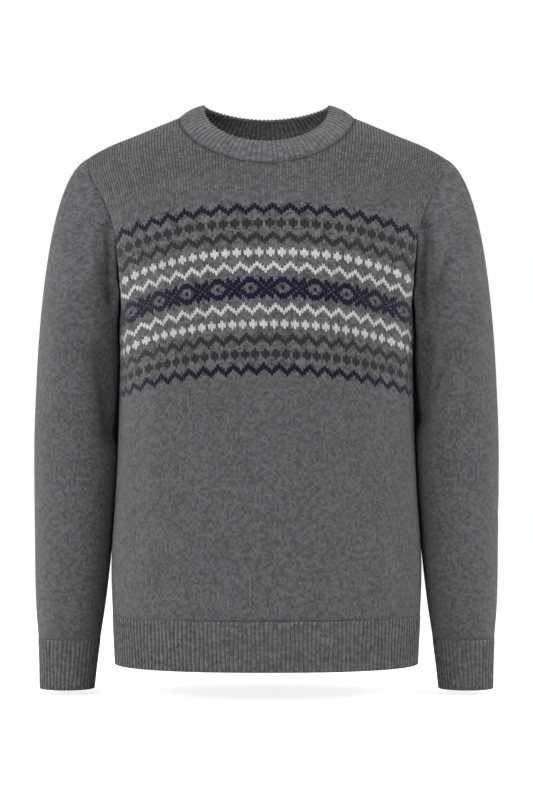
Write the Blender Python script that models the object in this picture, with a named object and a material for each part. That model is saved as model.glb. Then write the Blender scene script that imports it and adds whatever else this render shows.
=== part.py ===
"""A crew-neck fair isle sweater, filled out as if worn, with nobody in it.

Metres, +Z up. +X is the wearer's left and the front faces -Y. The origin is at the middle of
the neck, level with the points where the neckband meets the shoulders.

The torso is one closed form: a rounded section at each height, which rolls over to the
shoulder line above the chest. Each panel is a grid of points on that form. The sleeves leave
the panels' armhole edges, so a seam's two edges always follow the same points.
"""

import collections
import math

import bpy
import numpy as np

# Cloth
WALL = 0.0020  # jersey, outer face to inner face
SEAM_GAP = 0.0003  # between two pieces along a seam
RIB_WALL = 0.0016  # rib knit at the bottom of a groove
RIB_RAISE = 0.0012  # a rib's ridge above its groove
BAND_WALL = 0.0036  # the doubled neckband
BAND_PROUD = 0.0008  # how far the neckband's foot stands out from the panels

# Heights
HEM_TOP = -0.605
HEM_BOTTOM = -0.6645
CHEST = -0.220  # above this the torso starts to roll over to the shoulders
UNDERARM = -0.255
CUFF_TOP = -0.6345
CUFF_BOTTOM = -0.695
FULL_SLEEVE = -0.285  # below this a sleeve's rings are level

# Across
NECK_HALF = 0.105  # the neckband's seam at the shoulder
TIP_HALF = 0.2178  # the sleeve's seam at the shoulder
NECK_Z = -0.001
TIP_Z = -0.051

# Rounding of the torso: the exponent of its level sections, and of the roll over the shoulder
ACROSS = {"front": 2.4, "back": 2.6}
ROLL = {"front": 1.8, "back": 2.4}
FACING = {"front": -1.0, "back": 1.0}  # the sign of y

# The neck seam's drop at the centre, and the two exponents of its curve
NECK_DROP = {"front": (0.062, 1.9, 1.8), "back": (0.020, 2.4, 1.5)}

# Ribs, counted all round
HEM_RIBS_A_SIDE = 97
CUFF_RIBS = 42
NECK_RIBS = 94

# Grid counts. A half panel's columns are those below the neck seam and those below a shoulder.
NECK_COLUMNS = 7
SHOULDER_COLUMNS = 5
HALF_COLUMNS = NECK_COLUMNS + SHOULDER_COLUMNS
ARM_ROWS = 12
BODY_ROWS = 9
CAP_RINGS = 7
SLEEVE_RINGS = 11
RIB_ROWS = 2

# The torso by height
TORSO = {
    "z": (-0.6645, -0.605, -0.545, -0.450, -0.350, -0.270, -0.220, -0.170, -0.100, -0.050, 0.030),
    "half": (0.1840, 0.1868, 0.1885, 0.1830, 0.1790, 0.1788, 0.1840, 0.1930, 0.2120, 0.2320, 0.2600),
    "front": (0.1130, 0.1150, 0.1170, 0.1200, 0.1245, 0.1265, 0.1265, 0.1260, 0.1250, 0.1250, 0.1250),
    "back": (0.1080, 0.1060, 0.1010, 0.0960, 0.0990, 0.1040, 0.1060, 0.1070, 0.1060, 0.1050, 0.1050),
}

# The shoulder line, seen from the front
SHOULDER = {
    "x": (0.000, 0.060, 0.105, 0.155, 0.199, 0.2178, 0.240),
    "z": (0.022, 0.0155, -0.001, -0.0215, -0.0400, -0.0510, -0.072),
}

# The armhole edges, seen from the front
ARMHOLE = {
    "z": (-0.255, -0.237, -0.202, -0.171, -0.141, -0.119, -0.104, -0.0915, -0.072, -0.051),
    "front": (0.1790, 0.1762, 0.1779, 0.1797, 0.1822, 0.1892, 0.1956, 0.2022, 0.2124, 0.2178),
    "back": (0.1790, 0.1775, 0.1787, 0.1805, 0.1835, 0.1905, 0.1968, 0.2030, 0.2126, 0.2178),
}

# A sleeve and its cuff by height
SLEEVE = {
    "z": (-0.695, -0.660, -0.6345, -0.595, -0.555, -0.520, -0.450, -0.390, -0.330, -0.285, -0.240),
    "outer": (0.2753, 0.2762, 0.2773, 0.2803, 0.2815, 0.2820, 0.2830, 0.2828, 0.2802, 0.2776, 0.2740),
    "inner": (0.2096, 0.2056, 0.2022, 0.1964, 0.1915, 0.1870, 0.1805, 0.1770, 0.1755, 0.1765, 0.1780),
    "deep": (0.0290, 0.0310, 0.0350, 0.0430, 0.0480, 0.0500, 0.0545, 0.0570, 0.0590, 0.0600, 0.0600),
    "y": (-0.006, -0.005, -0.004, -0.002, 0.000, 0.002, 0.003, 0.002, -0.001, -0.003, -0.004),
}
SLEEVE_ROUND = 2.15
SLEEVE_CLEAR = 0.0012  # between a sleeve and the side of the body it lies against
SLEEVE_EASE = 0.0040  # how gradually it turns away from the body

# How a sleeve leaves the armhole: over the shoulder, and at the underarm
LEAVE_TOP = (0.908, 0.0, -0.418)
LEAVE_UNDERARM = (0.300, 0.0, -0.954)
LEAVE_SWELL = 0.15  # how much it swells forwards and backwards between the two
CAP_START = 0.55  # the pull of the two ends, as shares of the distance between them
CAP_END = 1.10

# The neckband's top edge: its reach, its drop at the middle and the drop's two powers
BAND_TOP = {
    "half": 0.0775,
    "z": 0.0143,
    "front": (0.068, 0.0507, 2.0, 2.0),
    "back": (0.060, 0.0113, 1.9, 1.0),
}
BAND_SWELL = 0.0022  # how far the band's face bows out between its edges
BAND_ROWS = (0.45, 0.86)  # its rows between the two, as shares of its height
BAND_CROWN = 0.02  # how far its rounded edge rises above the top, as a share of its height

# The largest creases, each a soft trough between two points near the cloth. A minus depth is
# a ridge.
Crease = collections.namedtuple("Crease", "piece start end deep wide")
CREASES = (
    Crease("sleeve_left", (0.236, -0.060, -0.140), (0.196, -0.050, -0.240), 0.0050, 0.014),
    Crease("sleeve_left", (0.216, -0.060, -0.135), (0.184, -0.050, -0.200), -0.0030, 0.014),
    Crease("sleeve_left", (0.252, -0.055, -0.255), (0.206, -0.060, -0.350), 0.0040, 0.016),
    Crease("sleeve_left", (0.225, 0.055, -0.165), (0.198, 0.045, -0.262), 0.0045, 0.015),
    Crease("sleeve_left", (0.242, 0.050, -0.470), (0.200, 0.035, -0.410), 0.0040, 0.016),
    Crease("sleeve_right", (-0.206, -0.058, -0.125), (-0.194, -0.050, -0.225), 0.0045, 0.013),
    Crease("sleeve_right", (-0.228, -0.060, -0.230), (-0.202, -0.055, -0.330), 0.0035, 0.016),
    Crease("sleeve_right", (-0.230, 0.055, -0.155), (-0.196, 0.045, -0.250), 0.0045, 0.015),
    Crease("sleeve_right", (-0.236, 0.052, -0.440), (-0.198, 0.035, -0.390), 0.0035, 0.015),
)

# The plain woven label inside the back neck
LABEL = {"wide": 0.044, "high": 0.020, "wall": 0.0010, "clear": 0.0008, "below_seam": 0.0020}

# Finish: colour in linear light, and roughness
FINISH = {
    "jersey": ((0.115, 0.110, 0.120), 0.95),
    "patterned": ((0.125, 0.120, 0.130), 0.95),
    "rib": ((0.100, 0.095, 0.105), 0.95),
    "neck_rib": ((0.140, 0.135, 0.145), 0.95),
    "label": ((0.012, 0.012, 0.030), 0.70),
}


def clear_scene():
    for thing in list(bpy.data.objects):
        bpy.data.objects.remove(thing, do_unlink=True)


def material(finish):
    made = bpy.data.materials.get(finish)
    if made:
        return made
    colour, roughness = FINISH[finish]
    made = bpy.data.materials.new(finish)
    made.use_nodes = True
    shader = made.node_tree.nodes["Principled BSDF"]
    shader.inputs["Base Color"].default_value = (*colour, 1.0)
    shader.inputs["Roughness"].default_value = roughness
    shader.inputs["Metallic"].default_value = 0.0
    return made


def along(at, places, values):
    """A smooth curve through a table's values, read at any place."""
    places, values = np.asarray(places, float), np.asarray(values, float)
    slopes = np.gradient(values, places)
    at = np.clip(np.asarray(at, float), places[0], places[-1])
    i = np.clip(np.searchsorted(places, at) - 1, 0, len(places) - 2)
    span = places[i + 1] - places[i]
    t = (at - places[i]) / span
    return (
        (2 * t**3 - 3 * t**2 + 1) * values[i]
        + (t**3 - 2 * t**2 + t) * span * slopes[i]
        + (3 * t**2 - 2 * t**3) * values[i + 1]
        + (t**3 - t**2) * span * slopes[i + 1]
    )


def rounded(share, exponent, closing=None):
    """How far a rounded section still reaches at this share of its width."""
    share = np.clip(np.abs(share), 0.0, 1.0)
    return (1.0 - share**exponent) ** (1.0 / (closing or exponent))


def torso_y(x, z, side):
    """The torso's surface, front or back, above each point of the front view."""
    half = along(z, TORSO["z"], TORSO["half"])
    depth = along(z, TORSO["z"], TORSO[side])
    ridge = along(np.abs(x), SHOULDER["x"], SHOULDER["z"])
    rise = np.clip((z - CHEST) / (ridge - CHEST), 0.0, 1.0)
    return FACING[side] * depth * rounded(x / half, ACROSS[side]) * rounded(rise, ROLL[side])


def unit(vectors):
    return vectors / np.maximum(np.linalg.norm(vectors, axis=-1, keepdims=True), 1e-12)


def evenly(points, count):
    """Points at even steps along a line of points, its ends included."""
    steps = np.linalg.norm(np.diff(points, axis=0), axis=1)
    reach = np.concatenate([[0.0], np.cumsum(steps)])
    wanted = np.linspace(0.0, reach[-1], count)
    return np.stack([np.interp(wanted, reach, points[:, i]) for i in range(3)], axis=1)


def armhole_edge(side):
    """The left armhole's edge from the underarm up to the shoulder."""
    fine = UNDERARM + (TIP_Z - UNDERARM) * (1 - np.cos(np.linspace(0, math.pi, 400))) / 2
    x = along(fine, ARMHOLE["z"], ARMHOLE[side])
    y = torso_y(x, fine, side)
    y[0] = y[-1] = 0.0
    return evenly(np.stack([x, y, fine], axis=1), ARM_ROWS + 1)


def column_shares():
    """Where a half panel's columns cross a level section, at even steps round it."""
    angle = np.linspace(0, math.pi / 2, 400)
    exponent = 2 / ACROSS["front"]
    x = TORSO["half"][3] * np.sin(angle) ** exponent
    y = TORSO["front"][3] * np.cos(angle) ** exponent
    return evenly(np.stack([x, y, 0 * x], axis=1), HALF_COLUMNS + 1)[:, 0] / TORSO["half"][3]


def neck_seam_z(x, side):
    drop, across, closing = NECK_DROP[side]
    return NECK_Z - drop * rounded(x / NECK_HALF, across, closing)


def panel_points(side):
    """The outer face of a panel, rows upwards, columns from the wearer's right to left."""
    shares = column_shares()
    turn = np.linspace(math.pi / 2, 0, NECK_COLUMNS + 1)
    top_x = np.concatenate(
        [NECK_HALF * np.cos(turn), np.linspace(NECK_HALF, TIP_HALF, SHOULDER_COLUMNS + 1)[1:]]
    )
    top_z = np.where(
        top_x < NECK_HALF, neck_seam_z(top_x, side), along(top_x, SHOULDER["x"], SHOULDER["z"])
    )
    edge = armhole_edge(side)
    rows = []
    for z in np.linspace(HEM_TOP + SEAM_GAP / 2, UNDERARM, BODY_ROWS + 1)[:-1]:
        x = shares * along(z, TORSO["z"], TORSO["half"])
        rows.append(np.stack([x, 0 * x + z], axis=1))
    over = np.clip(top_x / NECK_HALF, 0.35, 1.0)
    pull = shares**3
    for row in range(ARM_ROWS + 1):
        v = row / ARM_ROWS
        climb = (1 - over) * v + over * math.sin(math.pi * v / 2)
        x = (1 - v) * shares * edge[0, 0] + v * top_x
        z = (1 - climb) * UNDERARM + climb * top_z
        x = x + pull * (edge[row, 0] - x[-1])
        z = z + pull * (edge[row, 2] - z[-1])
        rows.append(np.stack([x, z], axis=1))
    half = np.array(rows)
    x, z = half[:, :, 0], half[:, :, 1]
    y = torso_y(x, z, side)
    y[: BODY_ROWS + 1, -1] = 0.0
    y[-1, NECK_COLUMNS:] = 0.0
    left = np.stack([x, y, z], axis=2)
    left[BODY_ROWS:, -1] = edge
    right = left[:, :0:-1] * (-1, 1, 1)
    return np.concatenate([right, left], axis=1)


def grid_normals(points, closed, outward):
    """Unit normals of a grid, on the side that outward points to."""
    if closed:
        side = np.roll(points, -1, axis=1) - np.roll(points, 1, axis=1)
    else:
        side = np.gradient(points, axis=1)
    normals = unit(np.cross(side, np.gradient(points, axis=0)))
    flips = np.sign(np.sum(normals * outward, axis=2, keepdims=True))
    return normals * np.where(flips == 0, 1, flips)


def creased(points, normals, piece):
    """The points moved along their normals by the creases of this piece."""
    moved = points.copy()
    for crease in CREASES:
        if crease.piece != piece:
            continue
        start, end = np.array(crease.start), np.array(crease.end)
        share = np.clip(((points - start) @ (end - start)) / np.sum((end - start) ** 2), 0, 1)
        away = np.linalg.norm(points - start - share[..., None] * (end - start), axis=2)
        depth = crease.deep * np.exp(-((away / crease.wide) ** 2))
        moved -= normals * depth[..., None]
    return moved


def strip_faces(count_a, count_b, start_a, start_b, closed):
    """Triangles between two rows of points with different counts."""
    steps_a, steps_b = (count_a, count_b) if closed else (count_a - 1, count_b - 1)
    faces, a, b = [], 0, 0
    while a < steps_a or b < steps_b:
        here_a, here_b = start_a + a % count_a, start_b + b % count_b
        if b == steps_b or (a < steps_a and (a + 0.5) / steps_a <= (b + 0.5) / steps_b):
            faces.append((here_a, start_a + (a + 1) % count_a, here_b))
            a += 1
        else:
            faces.append((here_a, start_b + (b + 1) % count_b, here_b))
            b += 1
    return faces


def grid_faces(rows, columns, start, closed):
    faces = []
    for row in range(rows - 1):
        for column in range(columns if closed else columns - 1):
            beside = (column + 1) % columns
            low, high = start + row * columns, start + (row + 1) * columns
            faces.append((low + column, low + beside, high + beside, high + column))
    return faces


def facing_out(points, faces):
    """The faces turned so that the body's volume is positive."""
    volume = 0.0
    for face in faces:
        a = points[face[0]]
        for b, c in zip(face[1:-1], face[2:]):
            volume += np.dot(a, np.cross(points[b], points[c]))
    return faces if volume > 0 else [tuple(reversed(face)) for face in faces]


def cloth(name, outer, inner, closed, finish):
    """One closed wall between an outer and an inner grid, whose columns may differ in count."""
    rows_out, columns_out = outer.shape[:2]
    rows_in, columns_in = inner.shape[:2]
    points = np.concatenate([outer.reshape(-1, 3), inner.reshape(-1, 3)])
    start = rows_out * columns_out
    faces = grid_faces(rows_out, columns_out, 0, closed)
    faces += [tuple(reversed(f)) for f in grid_faces(rows_in, columns_in, start, closed)]
    last_out, last_in = (rows_out - 1) * columns_out, start + (rows_in - 1) * columns_in
    faces += [tuple(reversed(f)) for f in strip_faces(columns_out, columns_in, 0, start, closed)]
    faces += strip_faces(columns_out, columns_in, last_out, last_in, closed)
    if not closed:
        for row in range(rows_out - 1):
            low, high = row * columns_out, (row + 1) * columns_out
            low_in, high_in = start + row * columns_in, start + (row + 1) * columns_in
            faces.append((low, high, high_in, low_in))
            end = (low + columns_out - 1, high + columns_out - 1)
            end_in = (low_in + columns_in - 1, high_in + columns_in - 1)
            faces.append((end[0], end_in[0], end_in[1], end[1]))
    mesh = bpy.data.meshes.new(name)
    mesh.from_pydata([tuple(p) for p in points], [], facing_out(points, faces))
    mesh.materials.append(material(finish))
    mesh.shade_smooth()
    mesh.set_sharp_from_angle(angle=math.radians(50))
    made = bpy.data.objects.new(name, mesh)
    bpy.context.scene.collection.objects.link(made)
    return made


def seam_frame(edge, inward):
    """The directions across a seam: into the cloth's thickness, and across the seam line."""
    tangent = unit(np.gradient(edge, axis=0))
    inward = unit(inward - np.sum(inward * tangent, axis=1, keepdims=True) * tangent)
    return inward, np.cross(inward, tangent)


def armhole_frame():
    """The left armhole's whole edge, with its inward and outward (sleeve side) directions."""
    front, back = armhole_edge("front")[::-1], armhole_edge("back")
    loop = np.concatenate([front, back[1:-1]])
    ring = np.concatenate([loop[-1:], loop, loop[:1]])
    middle = loop.mean(axis=0)
    inward, across = seam_frame(ring, (middle - ring) * (0, 1, 1))
    inward, across = inward[1:-1], across[1:-1]
    across = across * np.sign(across[:, :1])
    return loop, inward, across


def keep_side(vectors, across, side):
    """Directions with no part that leans over the seam to the other piece."""
    lean = np.sum(vectors * across, axis=-1, keepdims=True) * side
    return unit(vectors - np.minimum(lean, 0.0) * side * across)


def panel_normals(points, side):
    outward = points * (1, 1, 0) + np.array([0, FACING[side] * 0.05, 0.02])
    return grid_normals(points, False, outward)


def band_top_points(side):
    """The neckband's top edge, at a point for each point of a panel's neck seam."""
    turn = np.linspace(math.pi, 0, 2 * NECK_COLUMNS + 1)
    reach, drop, across, closing = BAND_TOP[side]
    x = BAND_TOP["half"] * np.cos(turn)
    y = FACING[side] * reach * np.sin(turn)
    z = BAND_TOP["z"] - drop * rounded(np.cos(turn), across, closing)
    return np.stack([x, y, z], axis=1)


def neck_frame():
    """The neck seam, round from the wearer's right over the front, with the band's top edge
    and the directions into the cloth and up to the band."""
    foot, top, out = [], [], []
    for side, step in (("front", 1), ("back", -1)):
        grid = panel_points(side)
        middle = grid.shape[1] // 2
        neck = slice(middle - NECK_COLUMNS, middle + NECK_COLUMNS + 1)
        parts = grid[-1, neck], band_top_points(side), panel_normals(grid, side)[-1, neck]
        for whole, part in zip((foot, top, out), parts):
            whole.append(part[::step])
    out[0][[0, -1]] += out[1][[-1, 0]]
    foot, top, out = (np.concatenate([one[:-1], other[:-1]]) for one, other in (foot, top, out))
    ring = np.concatenate([foot[-1:], foot, foot[:1]])
    inward, up = seam_frame(ring, -unit(np.concatenate([out[-1:], out, out[:1]])))
    inward, up = inward[1:-1], up[1:-1]
    up = up * np.sign(np.sum(up * (top - foot), axis=1, keepdims=True))
    return foot, top, inward, up


def make_panel(side):
    outer = panel_points(side)
    normals = panel_normals(outer, side)
    inner = outer - normals * WALL
    _, inward, across = armhole_frame()
    if side == "front":
        order = np.arange(ARM_ROWS, -1, -1)
    else:
        order = np.concatenate([np.arange(ARM_ROWS, 2 * ARM_ROWS), [0]])
    rows = slice(BODY_ROWS, None)
    for column, mirror in ((-1, (1, 1, 1)), (0, (-1, 1, 1))):
        lean, over = inward[order] * mirror, across[order] * mirror
        into = keep_side(unit(lean - normals[rows, column]), over, -1)
        inner[rows, column] = outer[rows, column] + into * WALL - over * SEAM_GAP / 2
        outer[rows, column] -= over * SEAM_GAP / 2
    _, _, inward, up = neck_frame()
    half_way = 2 * NECK_COLUMNS
    order = np.arange(half_way + 1) if side == "front" else -np.arange(half_way + 1)
    neck = slice(HALF_COLUMNS - NECK_COLUMNS, HALF_COLUMNS + NECK_COLUMNS + 1)
    outer[-1, neck] -= up[order] * SEAM_GAP / 2
    inner[-1, neck] = outer[-1, neck] + inward[order] * WALL
    inner[0, :, 2] = outer[0, :, 2]
    for grid in (outer, inner):
        for part in (grid[:, 0], grid[:, -1], grid[-1]):
            near = part[:, 1] * FACING[side] < SEAM_GAP / 2
            part[near, 1] = FACING[side] * SEAM_GAP / 2
    cloth(side, outer, inner, False, "patterned" if side == "front" else "jersey")


def neck_lines(count):
    """The neck seam's directions and both of the band's edges, at even steps round the seam."""
    foot, top, inward, up = neck_frame()
    ring = np.concatenate([foot, foot[:1]])
    steps = np.linalg.norm(np.diff(ring, axis=0), axis=1)
    reach = np.concatenate([[0.0], np.cumsum(steps)]) / steps.sum()
    shares = (np.arange(count) + 0.5) / count
    read = []
    for line in (foot, top, inward, up):
        whole = np.concatenate([line, line[:1]])
        read.append(np.stack([np.interp(shares, reach, whole[:, i]) for i in range(3)], axis=1))
    foot, top, inward, up = read
    tangent = unit(np.roll(foot, -1, axis=0) - np.roll(foot, 1, axis=0))
    face = unit(np.cross(tangent, top - foot))
    face = face * -np.sign(np.sum(face * inward, axis=1, keepdims=True))
    return foot + unit(up) * SEAM_GAP / 2, top, unit(inward), face


def make_neckband():
    count = 2 * NECK_RIBS
    low, high, inward, face = neck_lines(count)
    lift = high - low
    ridge = (np.arange(count) % 2)[:, None] * RIB_RAISE - RIB_RAISE
    outer = [low - inward * (BAND_PROUD + ridge)]
    for share in BAND_ROWS:
        bow = BAND_PROUD + BAND_SWELL * math.sin(math.pi * share)
        outer.append(low + lift * share + face * (bow + ridge))
    outer.append(high + face * ridge)
    outer.append(high - face * BAND_WALL / 2 + lift * BAND_CROWN + face * ridge / 2)
    low, high, inward, face = neck_lines(count // 2)
    lift = high - low
    inner = [low + inward * (BAND_WALL - BAND_PROUD)]
    for share in BAND_ROWS:
        bow = BAND_PROUD + BAND_SWELL * math.sin(math.pi * share)
        inner.append(low + lift * share + face * (bow - BAND_WALL))
    cloth("neckband", np.array(outer), np.array(inner), True, "neck_rib")


def body_side(y, z):
    """How far out the body's left side comes at this height."""
    side = np.where(y < 0, ACROSS["front"], ACROSS["back"])
    depth = np.where(y < 0, along(z, TORSO["z"], TORSO["front"]), along(z, TORSO["z"], TORSO["back"]))
    share = np.clip(np.abs(y) / depth, 0.0, 1.0)
    return along(z, TORSO["z"], TORSO["half"]) * (1.0 - share**side) ** (1.0 / side)


def sleeve_ring(z, angle):
    """A level section of the left sleeve. Angle 0 is the outer arm, and it turns to the front."""
    outer, inner, deep, y = (along(z, SLEEVE["z"], SLEEVE[key]) for key in ("outer", "inner", "deep", "y"))
    power = 2 / SLEEVE_ROUND
    side = np.sign(np.cos(angle)) * np.abs(np.cos(angle)) ** power
    fore = np.sign(np.sin(angle)) * np.abs(np.sin(angle)) ** power
    x = (outer + inner) / 2 + (outer - inner) / 2 * side
    y = y - deep * fore
    body = body_side(y, z) + SLEEVE_CLEAR
    x = (x + body + np.hypot(x - body, SLEEVE_EASE * (1 - side) / 2)) / 2
    return np.stack([x, y, 0 * x + z], axis=1)


def sleeve_points():
    loop, inward, across = armhole_frame()
    angle = np.linspace(0, 2 * math.pi, 2 * ARM_ROWS, endpoint=False)
    first = sleeve_ring(FULL_SLEEVE, angle)
    step = 0.01
    arrive = unit(sleeve_ring(FULL_SLEEVE - step, angle) - sleeve_ring(FULL_SLEEVE + step, angle))
    over = ((1 + np.cos(angle)) / 2)[:, None]
    leave = over * np.array(LEAVE_TOP) + (1 - over) * np.array(LEAVE_UNDERARM)
    leave[:, 1] -= LEAVE_SWELL * np.sin(angle)
    leave = unit(leave)
    start = loop + across * SEAM_GAP / 2
    length = np.linalg.norm(first - start, axis=1, keepdims=True)
    rings = []
    for t in np.linspace(0, 1, CAP_RINGS + 1):
        rings.append(
            (2 * t**3 - 3 * t**2 + 1) * start
            + (t**3 - 2 * t**2 + t) * CAP_START * length * leave
            + (3 * t**2 - 2 * t**3) * first
            + (t**3 - t**2) * CAP_END * length * arrive
        )
    for z in np.linspace(FULL_SLEEVE, CUFF_TOP + SEAM_GAP / 2, SLEEVE_RINGS + 1)[1:]:
        rings.append(sleeve_ring(z, angle))
    return np.array(rings), inward, across


def make_sleeve(name, mirror):
    outer, inward, across = sleeve_points()
    outer = outer * mirror
    inward, across = inward * mirror, across * mirror
    outward = outer - outer.mean(axis=1, keepdims=True)
    normals = grid_normals(outer, True, outward)
    plain = outer.copy()
    outer = creased(outer, normals, name)
    outer[0], outer[-1] = plain[0], plain[-1]
    inner = outer - grid_normals(outer, True, outward) * WALL
    inner[0] = outer[0] + keep_side(unit(inward - normals[0]), across, 1) * WALL
    inner[-1, :, 2] = outer[-1, :, 2]
    cloth(name, outer, inner, True, "jersey")


def make_cuff(name, mirror):
    count = 2 * CUFF_RIBS
    angle = np.linspace(0, 2 * math.pi, count, endpoint=False)
    coarse = angle[::2]
    ridge = (np.arange(count) % 2)[:, None] * RIB_RAISE
    outer, inner = [], []
    for z in np.linspace(CUFF_TOP - SEAM_GAP / 2, CUFF_BOTTOM, RIB_ROWS + 1):
        ring = sleeve_ring(z, angle)
        out = unit((ring - ring.mean(axis=0)) * (1, 1, 0))
        outer.append((ring + out * (ridge - RIB_RAISE / 2)) * mirror)
        ring = sleeve_ring(z, coarse)
        out = unit((ring - ring.mean(axis=0)) * (1, 1, 0))
        inner.append((ring - out * (RIB_WALL + RIB_RAISE / 2)) * mirror)
    cloth(name, np.array(outer), np.array(inner), True, "rib")


def level_half(z, side, count):
    """Half of a level torso section, from the wearer's right to left, at even steps."""
    angle = np.linspace(0, math.pi, 600)
    power = 2 / ACROSS[side]
    half = along(z, TORSO["z"], TORSO["half"])
    depth = along(z, TORSO["z"], TORSO[side])
    x = -half * np.sign(np.cos(angle)) * np.abs(np.cos(angle)) ** power
    y = FACING[side] * depth * np.abs(np.sin(angle)) ** power
    return evenly(np.stack([x, y, 0 * x + z], axis=1), count)


def make_hem_rib(side):
    count = 2 * HEM_RIBS_A_SIDE + 1
    ridge = (np.arange(count) % 2)[:, None] * RIB_RAISE
    outer, inner = [], []
    for z in np.linspace(HEM_TOP - SEAM_GAP / 2, HEM_BOTTOM, RIB_ROWS + 1):
        for grid, points, shift in (
            (outer, count, ridge - RIB_RAISE / 2),
            (inner, HEM_RIBS_A_SIDE // 2 + 1, -(RIB_WALL + RIB_RAISE / 2)),
        ):
            line = level_half(z, side, points)
            out = unit(np.cross(np.gradient(line, axis=0), (0, 0, FACING[side] * -1.0)))
            out[0], out[-1] = (-1, 0, 0), (1, 0, 0)
            moved = line + out * shift
            moved[[0, -1], 1] = FACING[side] * SEAM_GAP / 2
            grid.append(moved)
    cloth("hem_rib_" + side, np.array(outer), np.array(inner), False, "rib")


def make_label():
    """A plain label that hangs from the seam, just clear of the inside of the back."""
    top = NECK_Z - NECK_DROP["back"][0] - LABEL["below_seam"]
    x, z = np.meshgrid(
        np.linspace(-LABEL["wide"] / 2, LABEL["wide"] / 2, 5), np.linspace(top - LABEL["high"], top, 4)
    )
    surface = np.stack([x, torso_y(x, z, "back"), z], axis=2)
    normals = panel_normals(surface, "back")
    near = surface - normals * (WALL + LABEL["clear"])
    cloth("neck_label", near, near - normals * LABEL["wall"], False, "label")


def main():
    clear_scene()
    for side in ("front", "back"):
        make_panel(side)
        make_hem_rib(side)
    for hand, mirror in (("left", (1, 1, 1)), ("right", (-1, 1, 1))):
        make_sleeve("sleeve_" + hand, mirror)
        make_cuff("cuff_" + hand, mirror)
    make_neckband()
    make_label()


main()
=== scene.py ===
"""How the fair isle sweater looks: its knitted surfaces, their finish, a plain floor and light.

Metres, +Z up. +X is the wearer's left and the front faces -Y. Each knitted piece is a lattice
of wales and courses on the garment's form, so its ridges, its pattern and its bump all follow
the same stitches. Wales are counted from the middle of a piece, and courses from its foot.
"""

import collections
import math

import bpy
import numpy as np
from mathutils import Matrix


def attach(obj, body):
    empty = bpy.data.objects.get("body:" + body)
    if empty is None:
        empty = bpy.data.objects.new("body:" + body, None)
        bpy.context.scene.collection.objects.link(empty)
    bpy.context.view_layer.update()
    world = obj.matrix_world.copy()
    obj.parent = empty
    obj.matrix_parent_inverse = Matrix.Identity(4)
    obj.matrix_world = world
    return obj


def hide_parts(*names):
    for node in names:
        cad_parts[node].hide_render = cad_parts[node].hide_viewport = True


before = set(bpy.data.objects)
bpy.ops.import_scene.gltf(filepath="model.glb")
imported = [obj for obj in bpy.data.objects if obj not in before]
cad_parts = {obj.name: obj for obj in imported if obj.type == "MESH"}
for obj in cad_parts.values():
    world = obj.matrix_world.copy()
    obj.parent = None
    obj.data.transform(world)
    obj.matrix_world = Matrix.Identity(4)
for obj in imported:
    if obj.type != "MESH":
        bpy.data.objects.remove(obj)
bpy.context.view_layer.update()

# The cloth's walls, the height of a rib, and how far the doubled neckband stands proud
WALL = 0.0020
RIB_WALL = 0.0016
RIB_RAISE = 0.0012
BAND_WALL = 0.0036
BAND_PROUD = 0.0008

# Heights. Above FULL_SLEEVE the sleeve turns in to the armhole
HEM_TOP = -0.605
HEM_BOTTOM = -0.6645
CHEST = -0.220
UNDERARM = -0.255
CUFF_TOP = -0.6345
CUFF_BOTTOM = -0.695
FULL_SLEEVE = -0.285

# Half the neck's width, and the heights of the shoulder's two ends
NECK_HALF = 0.105
NECK_Z = -0.001
TIP_Z = -0.051

# By panel: how square its level sections are, how it rolls over to the shoulder, which way it
# faces, and how far the neck drops, with the powers of that curve
ACROSS = {"front": 2.4, "back": 2.6}
ROLL = {"front": 1.8, "back": 2.4}
FACING = {"front": -1.0, "back": 1.0}
NECK_DROP = {"front": (0.062, 1.9, 1.8), "back": (0.020, 2.4, 1.5)}

HEM_RIBS_A_SIDE = 97
CUFF_RIBS = 42
NECK_RIBS = 94

# The form, the same as the solids'
TORSO = {
    "z": (-0.6645, -0.605, -0.545, -0.450, -0.350, -0.270, -0.220, -0.170, -0.100, -0.050, 0.030),
    "half": (0.1840, 0.1868, 0.1885, 0.1830, 0.1790, 0.1788, 0.1840, 0.1930, 0.2120, 0.2320, 0.2600),
    "front": (0.1130, 0.1150, 0.1170, 0.1200, 0.1245, 0.1265, 0.1265, 0.1260, 0.1250, 0.1250, 0.1250),
    "back": (0.1080, 0.1060, 0.1010, 0.0960, 0.0990, 0.1040, 0.1060, 0.1070, 0.1060, 0.1050, 0.1050),
}
SHOULDER = {
    "x": (0.000, 0.060, 0.105, 0.155, 0.199, 0.2178, 0.240),
    "z": (0.022, 0.0155, -0.001, -0.0215, -0.0400, -0.0510, -0.072),
}
ARMHOLE = {
    "z": (-0.255, -0.237, -0.202, -0.171, -0.141, -0.119, -0.104, -0.0915, -0.072, -0.051),
    "front": (0.1790, 0.1762, 0.1779, 0.1797, 0.1822, 0.1892, 0.1956, 0.2022, 0.2124, 0.2178),
    "back": (0.1790, 0.1775, 0.1787, 0.1805, 0.1835, 0.1905, 0.1968, 0.2030, 0.2126, 0.2178),
}
SLEEVE = {
    "z": (-0.695, -0.660, -0.6345, -0.595, -0.555, -0.520, -0.450, -0.390, -0.330, -0.285, -0.240),
    "outer": (0.2753, 0.2762, 0.2773, 0.2803, 0.2815, 0.2820, 0.2830, 0.2828, 0.2802, 0.2776, 0.2740),
    "inner": (0.2096, 0.2056, 0.2022, 0.1964, 0.1915, 0.1870, 0.1805, 0.1770, 0.1755, 0.1765, 0.1780),
    "deep": (0.0290, 0.0310, 0.0350, 0.0430, 0.0480, 0.0500, 0.0545, 0.0570, 0.0590, 0.0600, 0.0600),
    "y": (-0.006, -0.005, -0.004, -0.002, 0.000, 0.002, 0.003, 0.002, -0.001, -0.003, -0.004),
}
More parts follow.
